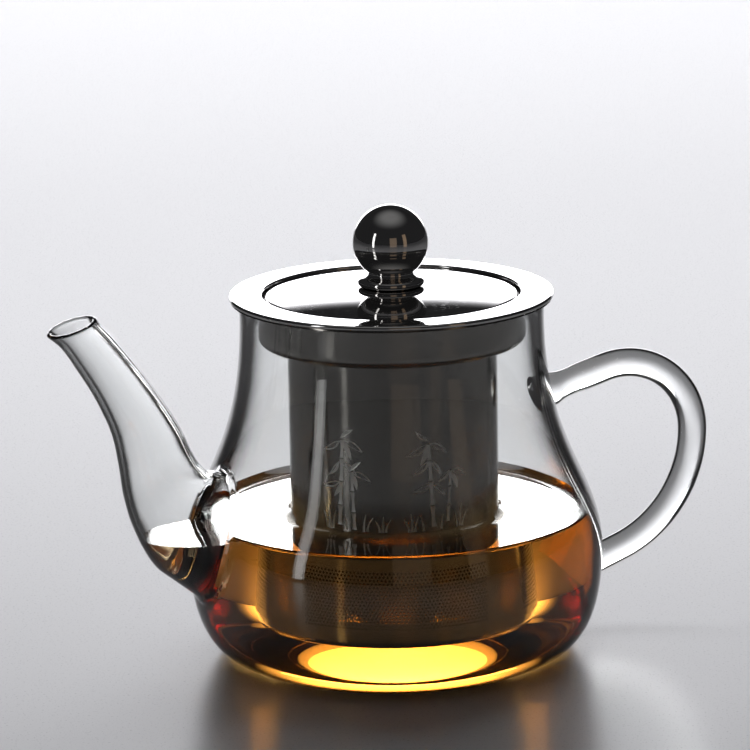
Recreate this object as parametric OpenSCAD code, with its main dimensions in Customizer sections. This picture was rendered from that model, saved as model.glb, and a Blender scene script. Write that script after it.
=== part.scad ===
// Glass teapot with a lift-out steel infuser and a steel lid.
// Millimetres. z = 0 is the table, the pot's axis is Z, the spout points
// to -X and the handle to +X.

/* [Glass body] */
// Outer diameter at the belly
belly_d = 113.6; // [104:0.2:122]
// Height of the widest place
belly_z = 28; // [24:0.5:33]
// Diameter of the flat that the pot stands on
base_d = 84; // [74:1:90]
// Outer diameter at the rim
rim_d = 82.6; // [78:0.2:88]
// Height of the glass rim
rim_z = 98.2; // [94:0.2:110]
// Thickness of the blown wall
glass_wall = 2; // [1.6:0.1:2.6]
// Rounding of the rim's two edges
rim_round = 0.6; // [0.3:0.1:0.7]

/* [Spout] */
// Height of the middle of the spout's root
spout_root_z = 37.2; // [34:0.2:40]
// Height of the root where it meets the body
spout_root_h = 34.5; // [28:0.5:36]
// Width of the root where it meets the body
spout_root_w = 31; // [24:0.5:34]
// How far the mouth's middle stands out from the belly
spout_reach = 33; // [28:0.5:40]
// Height of the mouth's middle above the glass rim
spout_mouth_up = 0.2; // [-4:0.2:8]
// Outer diameter just under the flared lip
spout_neck_d = 12.2; // [10:0.2:15]
// Outer diameter of the flared lip
spout_mouth_d = 14; // [12:0.2:18]
// Thickness of the spout's wall
spout_wall = 1.5; // [1.1:0.1:2]

/* [Handle] */
// Diameter of the solid glass rod
rod_d = 8; // [6:0.2:10]
// Depth of the upper joint below the rim
handle_drop = 30.6; // [24:0.5:36]
// How far the rod's middle line stands out from the belly
handle_out = 32.5; // [28:0.5:42]
// Slope of the upper arm, in degrees
upper_slope = 15.5; // [5:0.5:22]
// Slope of the lower arm, in degrees
lower_slope = 20.5; // [12:0.5:28]
// Radius of the upper bend
upper_bend_r = 21; // [17:0.5:24]
// Radius of the lower bend
lower_bend_r = 34; // [29:0.5:36]
// Diameter of the gather of glass at the upper joint
gather_d = 9.4; // [8.4:0.2:13]
// How far the upper gather stands out from the body
gather_out = 4.6; // [2:0.2:7]
// How far the lower gather stands out from the body
lower_gather_out = 1.4; // [1:0.2:4]

/* [Infuser] */
// Thickness of the infuser's sheet steel
sheet = 0.5; // [0.4:0.1:0.8]
// How far the flange overhangs the glass rim
flange_over = 2.3; // [1:0.1:3]
// Clear space between the collar and the neck of the glass
collar_gap = 2.9; // [1.5:0.1:5]
// Depth of the collar's straight wall below the glass rim
collar_drop = 8.7; // [7:0.1:16]
// Radius of the shoulder's bend
shoulder_r = 3; // [2:0.1:4]
// Outer diameter of the tube
tube_d = 57; // [48:0.5:60]
// Height of the infuser's underside above the table
infuser_z = 11.2; // [8:0.2:20]
// Height of the part of the base cup that shows below the tube
base_cup_h = 3; // [2.4:0.2:6]
// Length of the base cup inside the tube
base_cup_in = 3; // [2:0.2:6]
// Bend radius of the base cup's edge
base_cup_r = 1.5; // [0.8:0.1:2]

/* [Lid] */
// Thickness of the lid's sheet steel
lid_sheet = 0.5; // [0.4:0.1:0.6]
// How far the brim overhangs the flange
brim_over = 0.4; // [0:0.1:1.5]
// Height of the rolled edge of the brim
brim_roll_h = 1.3; // [1.3:0.1:2]
// Depth of the groove inside the brim
groove_depth = 2.6; // [2:0.1:5]
// Clear space between the lid's plug and the collar
plug_gap = 0.4; // [0.3:0.05:1]
// Height of the dome's top above the brim
dome_rise = 1.7; // [0.5:0.1:8]
// Diameter of the steam vent
vent_d = 2.2; // [1.5:0.1:4]
// Distance of the vent from the axis
vent_r = 19.5; // [14:0.5:26]
// Direction of the vent, in degrees from the handle
vent_angle = 122; // [0:1:359]

/* [Knob] */
// Diameter of the ball
ball_d = 20.5; // [16:0.5:28]
// Diameter of the neck under the ball
knob_neck_d = 12.2; // [9:0.2:14]
// Diameter of the knob's foot
foot_d = 18.2; // [16:0.2:24]
// Height of the foot
foot_h = 3.7; // [3:0.1:8]
// Thickness of the foot's edge
foot_edge = 0.6; // [0.4:0.1:1.2]
// Diameter of the screw's thread
screw_d = 4; // [3:0.5:5]
// Clear space round the screw in the foot and the lid
screw_gap = 0.2; // [0.1:0.05:0.5]
// Depth of the screw in the ball
screw_in_ball = 6; // [4:0.5:7]
// Diameter of the screw's head
screw_head_d = 7.4; // [6.6:0.2:9]
// Height of the screw's head
screw_head_h = 2.4; // [1.8:0.1:3]
// Outer diameter of the washer
washer_d = 9.6; // [9.4:0.2:14]
// Thickness of the washer
washer_t = 0.8; // [0.5:0.1:1.5]

/* [Hidden] */
$fn = 96;
eps = 0.01;

// ---- shared heights and radii ----
belly_r = belly_d / 2;
base_r = base_d / 2;
rim_r = rim_d / 2;
flange_top = rim_z + sheet;
flange_r = rim_r + flange_over;
collar_r = rim_r - glass_wall - collar_gap;
tube_r = tube_d / 2;
lip_r = tube_r + sheet;
brim_z = flange_top + brim_roll_h;
brim_r = flange_r + brim_over;
plug_r = collar_r - sheet - plug_gap;
dome_z = brim_z + dome_rise;
foot_top = dome_z + foot_h;
ball_z = foot_top + sqrt(pow(ball_d / 2, 2) - pow(knob_neck_d / 2, 2));

// ---- curves ----
// Point on a curve with four control points
function curve_at(p, t) = pow(1 - t, 3) * p[0] + 3 * pow(1 - t, 2) * t * p[1]
    + 3 * (1 - t) * t * t * p[2] + pow(t, 3) * p[3];
// The curve's points, without its first one
function curve(p, n) = [for (i = [1:n]) curve_at(p, i / n)];
// Points of an arc about c, from angle a0 to a1
function arc(c, r, a0, a1, n) = [for (i = [0:n]) let (a = a0 + (a1 - a0) * i / n)
    c + r * [cos(a), sin(a)]];
// Unit normal on the left of the way from a to b
function left_of(a, b) = let (d = b - a) [-d[1], d[0]] / norm(d);
// Point i of a path moved to its left by t, mitred at the corners
function moved(path, i, t) = let (
    n0 = left_of(path[max(i - 1, 0)], path[max(i, 1)]),
    n1 = left_of(path[min(i, len(path) - 2)], path[min(i + 1, len(path) - 1)])
) path[i] + t * (n0 + n1) / (1 + n0 * n1);
// Outline of a sheet of thickness t that lies on the left of a path
function sheet_outline(path, t) = concat(path, [for (i = [len(path) - 1:-1:0]) moved(path, i, t)]);
// A value taken between station k of a list and the next one, at share u of the way
function smooth(list, k, u) = let (
    a = list[max(k - 1, 0)], b = list[k], c = list[k + 1], d = list[min(k + 2, len(list) - 1)]
) 0.5 * (2 * b + (c - a) * u + (2 * a - 5 * b + 4 * c - d) * u * u + (3 * b - a - 3 * c + d) * u * u * u);

// ---- the blown body ----
// Outside of the body as [radius, height], from the edge of its flat base to below the rim
bowl_curve = [[base_r, 0], [base_r + 7.2, 0], [belly_r, belly_z - 21], [belly_r, belly_z]];
neck_curve = [[belly_r, belly_z], [belly_r, belly_z + 21.5], [rim_r - 0.9, rim_z - 43],
    [rim_r, rim_z - rim_round]];
body_outside = concat([bowl_curve[0]], curve(bowl_curve, 14), curve(neck_curve, 22));
// Radius of the outside at a height
function body_r(z) = lookup(z, [for (p = body_outside) [p[1], p[0]]]);

module body_solid() {
    rotate_extrude() polygon(concat([[0, 0]], body_outside, [[0, rim_z - rim_round]]));
}

module pot_body() {
    last = len(body_outside) - 1;
    color("lightcyan", 0.35) difference() {
        rotate_extrude() polygon(concat(
            [[0, 0]],
            [for (i = [0:last - 1]) body_outside[i]],
            arc([rim_r - rim_round, rim_z - rim_round], rim_round, 0, 90, 4),
            arc([rim_r - glass_wall + rim_round, rim_z - rim_round], rim_round, 90, 180, 4),
            [for (i = [last - 1:-1:0]) moved(body_outside, i, glass_wall)],
            [[0, glass_wall]]
        ));
        spout_passage();
    }
}

// The way out of the body into the spout
module spout_passage() {
    half_h = root_half_h(spout_wall);
    half_w = root_half_w(spout_wall);
    translate([-base_r / 2, 0, spout_root_z]) rotate([0, -90, 0]) linear_extrude(belly_r)
        polygon([for (a = spout_angles) [half_h * sin(a), half_w * cos(a)]]);
}

// ---- the spout ----
spout_sides = 28;
spout_steps = 2;
spout_angles = [for (j = [0:spout_sides - 1]) 360 * j / spout_sides];
function root_half_h(inset) = spout_root_h / 2 - inset;
function root_half_w(inset) = spout_root_w / 2 - inset;
spout_foot_z = spout_root_z - spout_root_h / 2;
spout_rise = rim_z + spout_mouth_up - spout_foot_z;
root_low = [body_r(spout_foot_z), spout_foot_z];
root_high = [body_r(spout_foot_z + spout_root_h), spout_foot_z + spout_root_h];
root_mid = (root_low + root_high) / 2;
root_span = norm(root_high - root_low);
root_lean = atan2(root_low[0] - root_high[0], root_high[1] - root_low[1]);
// A station of the spout, by its share of the reach and of the rise, its lean
// from level and its share of the taper from root to neck
function spout_station(out, up, lean, taper) = [belly_r + spout_reach * out,
    spout_foot_z + spout_rise * up, lean, spout_neck_d + (root_span - spout_neck_d) * taper];
spout_stations = [
    concat(root_mid, [root_lean, root_span]),
    spout_station(0.118, 0.287, 29, 0.764),
    spout_station(0.245, 0.37, 45, 0.571),
    spout_station(0.324, 0.459, 56, 0.433),
    spout_station(0.385, 0.56, 62, 0.305),
    spout_station(0.476, 0.663, 62, 0.18),
    spout_station(0.633, 0.786, 58, 0.09),
    spout_station(0.809, 0.898, 56, 0.03),
    spout_station(0.93, 0.967, 63, 0),
    [belly_r + spout_reach, spout_foot_z + spout_rise, 73, spout_mouth_d]
];
spout_last = len(spout_stations) - 1;
spout_width = [for (k = [0:spout_last]) k == 0 ? spout_root_w / root_span : k < 3 ? 0.94 : 1];
// One ring of the spout's skin, moved in by an inset
function spout_ring(k, u, inset) = let (
    s = smooth(spout_stations, k, u),
    half = s[3] / 2,
    wide = half * smooth(spout_width, k, u),
    level = [sin(s[2]), -cos(s[2])]
) [for (a = spout_angles) let (q = [s[0], s[1]] - level * (half - inset) * sin(a))
    [-q[0], (wide - inset) * cos(a), q[1]]];
// The ring that lies on the body's outside
function root_ring(inset) = [for (a = spout_angles) let (
    y = root_half_w(inset) * cos(a),
    z = spout_root_z + root_half_h(inset) * sin(a)
) [-sqrt(pow(body_r(z), 2) - y * y), y, z]];
function spout_skin(inset) = concat([root_ring(inset)],
    [for (k = [0:spout_last - 1], i = [1:spout_steps]) spout_ring(k, i / spout_steps, inset)]);

module spout() {
    outside = spout_skin(0);
    inside = spout_skin(spout_wall);
    rings = concat(outside, [for (i = [len(inside) - 1:-1:0]) inside[i]]);
    n = len(rings);
    m = spout_sides;
    color("lightcyan", 0.45) polyhedron(
        points = [for (ring = rings, p = ring) p],
        faces = [for (i = [0:n - 1], j = [0:m - 1], half = [0:1]) let (
            a = i * m + j,
            b = i * m + (j + 1) % m,
            c = ((i + 1) % n) * m + (j + 1) % m,
            d = ((i + 1) % n) * m + j
        ) half == 0 ? [a, b, c] : [a, c, d]],
        convexity = 6
    );
}

// ---- the handle ----
// The rod's middle line lies in the XZ plane: an arm, two bends that meet at
// the outermost place, and a lower arm
handle_x = belly_r + handle_out;
upper_z = rim_z - handle_drop;
upper_x = body_r(upper_z);
upper_end_x = handle_x - upper_bend_r * (1 + sin(upper_slope));
bend_z = upper_z + (upper_end_x - upper_x) * tan(upper_slope) - upper_bend_r * cos(upper_slope);
upper_end_z = bend_z + upper_bend_r * cos(upper_slope);
lower_end_x = handle_x - lower_bend_r * (1 - sin(lower_slope));
lower_end_z = bend_z - lower_bend_r * cos(lower_slope);
// Height of the lower arm's middle line at a distance from the axis
function lower_arm_z(x) = lower_end_z - (lower_end_x - x) * tan(lower_slope);
// Height at which the lower arm meets the body, closer with each step
function meet_z(z, steps) = steps == 0 ? z : meet_z(lower_arm_z(body_r(z)), steps - 1);
lower_z = meet_z(lower_end_z, 8);
lower_x = body_r(lower_z);

// Each bend is a trace thicker than the rod that runs into it, so the two join in a clean ring
swell = 0.04;
lap = 0.3;

module rod_arm(x, z, end_x, end_z) {
    way = [end_x - x, end_z - z];
    translate([x, 0, z]) rotate([0, atan2(way[0], way[1]), 0]) cylinder(d = rod_d, h = norm(way) + lap);
}

module rod_bend(r, from, to, d) {
    translate([handle_x - r, 0, bend_z]) rotate([90, 0, 0]) rotate([0, 0, from])
        rotate_extrude(angle = to - from) translate([r, 0]) circle(d = d);
}

// The gather starts inside the body and ends in a rounded edge
module gather(x, z, slope, out) {
    edge = (gather_d - rod_d) / 2;
    sunk = 4;
    translate([x, 0, z]) rotate([0, 90 - slope, 0]) translate([0, 0, -sunk]) rotate_extrude()
        polygon(concat([[0, 0], [gather_d / 2, 0]],
            arc([gather_d / 2 - edge, sunk + out - edge], edge, 0, 90, 6),
            [[0, sunk + out]]));
}

module rod() {
    sunk = 5;
    lap_angle = lap / upper_bend_r * 180 / PI;
    rod_arm(upper_x - sunk, upper_z - sunk * tan(upper_slope), upper_end_x, upper_end_z);
    rod_bend(upper_bend_r, -lap_angle, 90 + upper_slope, rod_d + swell);
    rod_bend(lower_bend_r, lower_slope - 90, 0, rod_d + 2 * swell);
    rod_arm(lower_x - sunk, lower_arm_z(lower_x - sunk), lower_end_x, lower_end_z);
    gather(upper_x, upper_z, upper_slope, gather_out);
    gather(lower_x, lower_z, lower_slope, lower_gather_out);
}

module handle() {
    color("lightcyan", 0.55) difference() {
        rod($fn = 48);
        body_solid();
    }
}

// ---- the infuser ----
module infuser_collar() {
    shoulder_z = rim_z - collar_drop;
    shoulder_turn = -75;
    lip_h = 0.8;
    turned = arc([collar_r - shoulder_r, shoulder_z], shoulder_r, 0, shoulder_turn, 6);
    turn_end = turned[len(turned) - 1];
    lip_bend_z = turn_end[1] - (turn_end[0] - lip_r) / tan(-shoulder_turn);
    path = concat(
        [[lip_r, lip_bend_z - lip_h], [lip_r, lip_bend_z]],
        [for (i = [len(turned) - 1:-1:0]) turned[i]],
        [[collar_r, rim_z], [flange_r, rim_z]]
    );
    color("silver") rotate_extrude() polygon(sheet_outline(path, sheet));
}

module infuser_tube() {
    foot = infuser_z + base_cup_h;
    top = rim_z - collar_drop - shoulder_r;
    color("gainsboro") translate([0, 0, foot]) difference() {
        cylinder(r = tube_r, h = top - foot);
        translate([0, 0, -1]) cylinder(r = tube_r - sheet, h = top - foot + 2);
    }
}

module infuser_base() {
    cup_r = tube_r - sheet;
    path = concat(
        [[0, infuser_z]],
        arc([cup_r - base_cup_r, infuser_z + base_cup_r], base_cup_r, -90, 0, 6),
        [[cup_r, infuser_z + base_cup_h + base_cup_in]]
    );
    color("darkgray") rotate_extrude() polygon(sheet_outline(path, sheet));
}

// ---- the lid ----
module lid_shell() {
    seat_r = foot_d / 2 + 0.4;
    groove_z = brim_z - groove_depth;
    groove_r = plug_r - lid_sheet;
    groove_bend = 0.5;
    brim_bend = 0.8;
    roll_r = brim_roll_h / 2;
    dome_end = [groove_r - 2 * groove_bend, groove_z + 0.2];
    dome_steps = 12;
    dome = [for (i = [0:dome_steps]) let (r = seat_r + (dome_end[0] - seat_r) * i / dome_steps)
        [r, dome_z - (dome_z - dome_end[1]) * pow(i / dome_steps, 2)]];
    path = concat(
        [[0, dome_z]], dome,
        arc([groove_r - groove_bend, groove_z + groove_bend], groove_bend, -90, 0, 3),
        arc([groove_r + brim_bend, brim_z - brim_bend], brim_bend, 180, 90, 4),
        arc([brim_r - roll_r, brim_z - roll_r], roll_r, 90, -90, 8),
        [[brim_r - 2 * roll_r, brim_z - 2 * roll_r]]
    );
    color("silver") difference() {
        rotate_extrude() polygon(sheet_outline(path, -lid_sheet));
        translate([0, 0, groove_z]) cylinder(d = screw_d + 2 * screw_gap, h = dome_z);
        rotate([0, 0, vent_angle]) translate([vent_r, 0, groove_z - 2])
            cylinder(d = vent_d, h = dome_z, $fn = 32);
    }
}

module knob_foot() {
    flare = [[foot_d / 2, dome_z + foot_edge], [foot_d / 2 - 2, dome_z + foot_edge + 0.4],
        [knob_neck_d / 2, dome_z + foot_h - 2], [knob_neck_d / 2, foot_top]];
    bore_r = screw_d / 2 + screw_gap;
    color("silver") rotate_extrude() polygon(concat(
        [[bore_r, dome_z], [foot_d / 2, dome_z], flare[0]], curve(flare, 10), [[bore_r, foot_top]]));
}

module knob_ball() {
    color("gainsboro") difference() {
        translate([0, 0, ball_z]) sphere(d = ball_d);
        translate([0, 0, foot_top - ball_d]) cylinder(d = ball_d, h = ball_d);
        translate([0, 0, foot_top - eps]) cylinder(d = screw_d, h = screw_in_ball + eps);
    }
}

module knob_screw() {
    head_top = dome_z - lid_sheet - washer_t;
    thread_h = foot_top + screw_in_ball - head_top;
    slot_w = 1;
    slot_depth = 1;
    color("dimgray") difference() {
        union() {
            translate([0, 0, head_top - eps]) cylinder(d = screw_d, h = thread_h + eps);
            translate([0, 0, head_top - screw_head_h]) cylinder(d = screw_head_d, h = screw_head_h);
        }
        translate([-screw_head_d, -slot_w / 2, head_top - screw_head_h - eps])
            cube([2 * screw_head_d, slot_w, slot_depth + eps]);
    }
}

module knob_washer() {
    color("darkgray") translate([0, 0, dome_z - lid_sheet - washer_t]) difference() {
        cylinder(d = washer_d, h = washer_t);
        translate([0, 0, -1]) cylinder(d = screw_d + 2 * screw_gap, h = washer_t + 2);
    }
}

pot_body();
spout();
handle();
infuser_collar();
infuser_tube();
infuser_base();
lid_shell();
knob_foot();
knob_ball();
knob_screw();
knob_washer();
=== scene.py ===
"""Glass teapot: models the fused glass, the tea, the perforated infuser and the mirror-polished lid
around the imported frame, and sets up a plain studio.

Everything is in metres in the part's own frame: Z up from the table, the handle towards +X and
the spout towards -X.
"""

import math

import bmesh
import bpy
from mathutils import Matrix, Vector


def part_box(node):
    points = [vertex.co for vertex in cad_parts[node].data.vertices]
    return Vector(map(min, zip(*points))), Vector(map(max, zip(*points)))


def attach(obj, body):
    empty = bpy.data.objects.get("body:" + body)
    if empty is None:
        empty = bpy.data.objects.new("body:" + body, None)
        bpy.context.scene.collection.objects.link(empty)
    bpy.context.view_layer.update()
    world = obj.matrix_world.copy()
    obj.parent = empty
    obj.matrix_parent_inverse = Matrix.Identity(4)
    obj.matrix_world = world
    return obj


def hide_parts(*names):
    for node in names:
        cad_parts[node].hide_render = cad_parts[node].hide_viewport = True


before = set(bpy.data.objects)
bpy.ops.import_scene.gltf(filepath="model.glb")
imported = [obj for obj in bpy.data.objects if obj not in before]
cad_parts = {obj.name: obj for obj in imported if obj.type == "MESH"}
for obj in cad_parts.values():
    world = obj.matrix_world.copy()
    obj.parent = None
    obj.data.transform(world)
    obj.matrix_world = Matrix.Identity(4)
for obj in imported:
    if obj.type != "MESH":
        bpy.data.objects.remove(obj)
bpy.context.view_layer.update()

bl_info = {
    "name": "Glass teapot",
    "version": (1, 0, 0),
    "blender": (4, 5, 0),
    "location": "3D View > Sidebar > Teapot",
    "description": "Glass teapot with a steel infuser and lid, dressed around its packed frame",
    "category": "Object",
}

MM = 0.001
TAU = 2 * math.pi
POT_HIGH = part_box("pot_body")[1]
HANDLE_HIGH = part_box("handle")[1]
TUBE_LOW, TUBE_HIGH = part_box("infuser_tube")
CUP_LOW, CUP_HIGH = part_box("infuser_base")
COLLAR_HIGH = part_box("infuser_collar")[1]
SHELL_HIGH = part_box("lid_shell")[1]
FOOT_LOW, FOOT_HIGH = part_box("knob_foot")
BALL_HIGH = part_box("knob_ball")[1]


# ---------------------------------------------------------------- settings


def length(name, value, description):
    """A length in the panel, with its default in metres."""
    return bpy.props.FloatProperty(
        name=name, default=value, min=0, precision=5, unit="LENGTH", description=description)


def share(name, value, description):
    """A number from 0 to 1 in the panel."""
    return bpy.props.FloatProperty(
        name=name, default=value, min=0, max=1, subtype="FACTOR", description=description)


def angle(name, degrees, description):
    """An angle in the panel, with its default in degrees."""
    return bpy.props.FloatProperty(
        name=name, default=math.radians(degrees), subtype="ANGLE", description=description)


def colour(name, value, description):
    """A colour in the panel."""
    return bpy.props.FloatVectorProperty(
        name=name, default=value, min=0, max=1, size=3, subtype="COLOR", description=description)


class TEAPOT_PG_glass(bpy.types.PropertyGroup):
    """Sizes and colour of the blown glass."""

    base_radius: length("Base radius", 42 * MM, "Radius of the flat that the pot stands on")
    belly_height: length("Belly height", 28 * MM, "Height of the widest place")
    rim_radius: length("Rim radius", 41.3 * MM, "Outer radius of the glass rim")
    wall: length("Wall", 2 * MM, "Thickness of the blown wall")
    rim_round: length("Rim rounding", 0.6 * MM, "Rounding of the rim's edges")
    spout_wall: length("Spout wall", 1.5 * MM, "Thickness of the spout's wall")
    kick: length("Base hollow", 0.35 * MM, "Depth of the shallow hollow under the base")
    seam: length("Seam", 2.6 * MM, "Width of the fused fillet round the spout's root")
    rod: length("Rod radius", 4 * MM, "Radius of the handle's glass rod")
    tint: colour("Tint", (0.985, 0.995, 0.99), "Colour of the clear glass")
    # Painted shade: a near-black colour painted into the glass where it is seen edge on, in place
    # of the dark surroundings that the edges refract
    painted_edge_shade: colour("Edge tint", (0.004, 0.0035, 0.003), "Colour where the wall is seen edge on")
    waviness: share("Waviness", 0.05, "Strength of the slight waves of hand-blown glass")


class TEAPOT_PG_tea(bpy.types.PropertyGroup):
    """The brewed tea in the pot."""

    level: length("Level", 38.5 * MM, "Height of the tea above the table")
    overlap: length("Overlap", 0.06 * MM, "How far the tea reaches into the wall, so no air shows")
    meniscus: length("Meniscus", 2.0 * MM, "How far the tea climbs up the glass and the infuser")
    colour: colour("Colour", (0.975, 0.66, 0.0), "Colour that the tea lets through")
    strength: bpy.props.FloatProperty(
        name="Strength", default=36.0, min=0, description="Density of the tea's colour")


class TEAPOT_PG_steel(bpy.types.PropertyGroup):
    """Sizes and colours of the infuser and the lid."""

    sheet: length("Sheet", 0.5 * MM, "Thickness of the sheet steel")
    band_low: length("Band foot", 15.7 * MM, "Height of the straining band's lowest edge")
    hole_pitch: length("Hole pitch", 0.9327 * MM, "Distance between the holes of one row")
    hole_diameter: length("Hole diameter", 0.48 * MM, "Diameter of a straining hole")
    hole_rows: bpy.props.IntProperty(
        name="Hole rows", default=17, min=1, description="Rows of holes in the straining band")
    panels: bpy.props.IntProperty(
        name="Panels", default=3, min=1, description="Perforated panels round the tube")
    panel_gap: angle("Panel gap", 28, "Plain strip between two perforated panels")
    etch_height: length("Etched relief", 0.06 * MM, "How far the etched figures stand proud")
    # Partly painted shade: the drawn steel's own colour, set darker than bare steel so that the
    # tube reads dark as if it mirrored a dark room
    infuser: colour("Infuser steel", (0.31, 0.295, 0.275), "Colour of the drawn sheet")
    etched: colour("Etched steel", (0.85, 0.84, 0.81), "Colour of the etched figures")
    polished: colour("Polished steel", (0.66, 0.65, 0.64), "Colour of the mirror-polished lid")
    screw: colour("Screw steel", (0.5, 0.5, 0.5), "Colour of the screw and washer")


class TEAPOT_PG_studio(bpy.types.PropertyGroup):
    """The floor, lights and camera."""

    floor: colour("Floor", (0.58, 0.58, 0.60), "Colour of the plain floor")
    backdrop: colour("Backdrop", (0.96, 0.96, 1.0), "Colour of the bright wall behind")
    glow: bpy.props.FloatProperty(
        name="Glow", default=4.5, min=0, description="Brightness of the wall behind")
    room: colour("Room", (0.02, 0.02, 0.021), "Colour of the unlit part of the room")
    ceiling: colour("Ceiling", (0.2, 0.2, 0.2), "Colour of the room straight above")
    turn: angle("Turn", -20, "Turn of the camera and the lights about the pot")
    lens: bpy.props.FloatProperty(
        name="Lens", default=194.1, min=1, description="Focal length of the camera in millimetres")


# ---------------------------------------------------------------- shaping helpers


def bezier(a, b, c, d, steps):
    """Points of a cubic curve in the (radius, height) plane, without its first one."""
    return [
        a * (1 - t) ** 3 + 3 * b * t * (1 - t) ** 2 + 3 * c * t * t * (1 - t) + d * t ** 3
        for t in (i / steps for i in range(1, steps + 1))
    ]


def arc(centre, radius, start, end, steps):
    """Points of an arc in the (radius, height) plane, between two angles in degrees."""
    turns = (math.radians(start + (end - start) * i / steps) for i in range(steps + 1))
    return [Vector(centre) + radius * Vector((math.cos(t), math.sin(t))) for t in turns]


def moved(path, distance):
    """The path moved to its left, mitred at its corners."""
    found = []
    for i, point in enumerate(path):
        before = (path[max(i, 1)] - path[max(i, 1) - 1]).normalized()
        after = (path[min(i + 1, len(path) - 1)] - path[min(i, len(path) - 2)]).normalized()
        normals = Vector((-before.y, before.x)), Vector((-after.y, after.x))
        mitre = (normals[0] + normals[1]) / (1 + normals[0].dot(normals[1]))
        found.append(point + distance * mitre)
    return found


def spun(path, steps, closed=False):
    """A surface of revolution about Z from (radius, height) points, with its faces outwards."""
    bm = bmesh.new()
    verts = [bm.verts.new((p[0], 0, p[1])) for p in path]
    pairs = list(zip(verts, verts[1:])) + ([(verts[-1], verts[0])] if closed else [])
    edges = [bm.edges.new(pair) for pair in pairs]
    bmesh.ops.spin(bm, geom=verts + edges, axis=(0, 0, 1), cent=(0, 0, 0), angle=TAU, steps=steps,
                   use_merge=True)
    bmesh.ops.remove_doubles(bm, verts=bm.verts, dist=1e-6)
    bmesh.ops.recalc_face_normals(bm, faces=bm.faces)
    return bm


def sheet_spun(path, thickness, steps):
    """A spun sheet that lies on the left of its path."""
    return spun(path + list(reversed(moved(path, thickness))), steps, closed=True)


def lofted(stations, sides):
    """A closed tube through its stations. Each station places a point of the unit circle."""
    bm = bmesh.new()
    unit = bm.verts.layers.float_vector.new("unit")
    ring = bmesh.ops.create_circle(bm, segments=sides, radius=1, cap_ends=False)["verts"]
    for v in ring:
        v[unit] = v.co
    edges = list(bm.edges)
    for i, station in enumerate(stations):
        if i:
            made = bmesh.ops.extrude_edge_only(bm, edges=edges)["geom"]
            ring = [g for g in made if isinstance(g, bmesh.types.BMVert)]
            edges = [e for e in made if isinstance(e, bmesh.types.BMEdge)
                     and e.verts[0] in ring and e.verts[1] in ring]
        for v in ring:
            v.co = station(v[unit].x, v[unit].y)
    bmesh.ops.holes_fill(bm, edges=bm.edges, sides=0)
    bmesh.ops.recalc_face_normals(bm, faces=bm.faces)
    return bm


def as_object(bm, name):
    """An object in the scene that holds the bmesh, which is then used up."""
    mesh = bpy.data.meshes.new(name)
    bm.to_mesh(mesh)
    bm.free()
    made = bpy.data.objects.new(name, mesh)
    bpy.context.scene.collection.objects.link(made)
    return made


def combined(base, tools, operation):
    """The closed base joined with, or cut by, closed tools. It uses them up."""
    body = as_object(base, "work")
    helpers = [as_object(tool, "tool") for tool in tools]
    for helper in helpers:
        cut = body.modifiers.new("cut", "BOOLEAN")
        cut.operation, cut.solver, cut.object = operation, "MANIFOLD", helper
    bm = bmesh.new()
    bm.from_object(body, bpy.context.evaluated_depsgraph_get())
    for used in [body, *helpers]:
        mesh = used.data
        bpy.data.objects.remove(used)
        bpy.data.meshes.remove(mesh)
    bmesh.ops.remove_doubles(bm, verts=bm.verts, dist=0.004 * MM)
    bmesh.ops.dissolve_degenerate(bm, edges=bm.edges, dist=0.002 * MM)
    if not bm.faces:
        raise RuntimeError("the glass came out empty")
    return bm


def dressed(bm, name, body, material, replaces=(), sharp=40):
    """Finishes a piece: smooth shading with crisp edges, its body, material and CAD nodes."""
    piece = as_object(bm, name)
    piece.data.shade_smooth()
    piece.data.set_sharp_from_angle(angle=math.radians(sharp))
    piece.data.materials.append(material)
    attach(piece, body)
    if replaces:
        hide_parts(*replaces)
    return piece


def wrapped(bm, radius, facing):
    """Rolls a flat bmesh, X along the girth and Y up, onto an upright cylinder. Z stands off it."""
    for v in bm.verts:
        turn, out = facing + v.co.x / radius, radius + v.co.z
        v.co = (out * math.cos(turn), out * math.sin(turn), v.co.y)


# ---------------------------------------------------------------- material helpers


# A Mix node's factor and colours have the same names as its other kinds' sockets
MIX_COLOUR_INPUTS = 0, 6, 7


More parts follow.
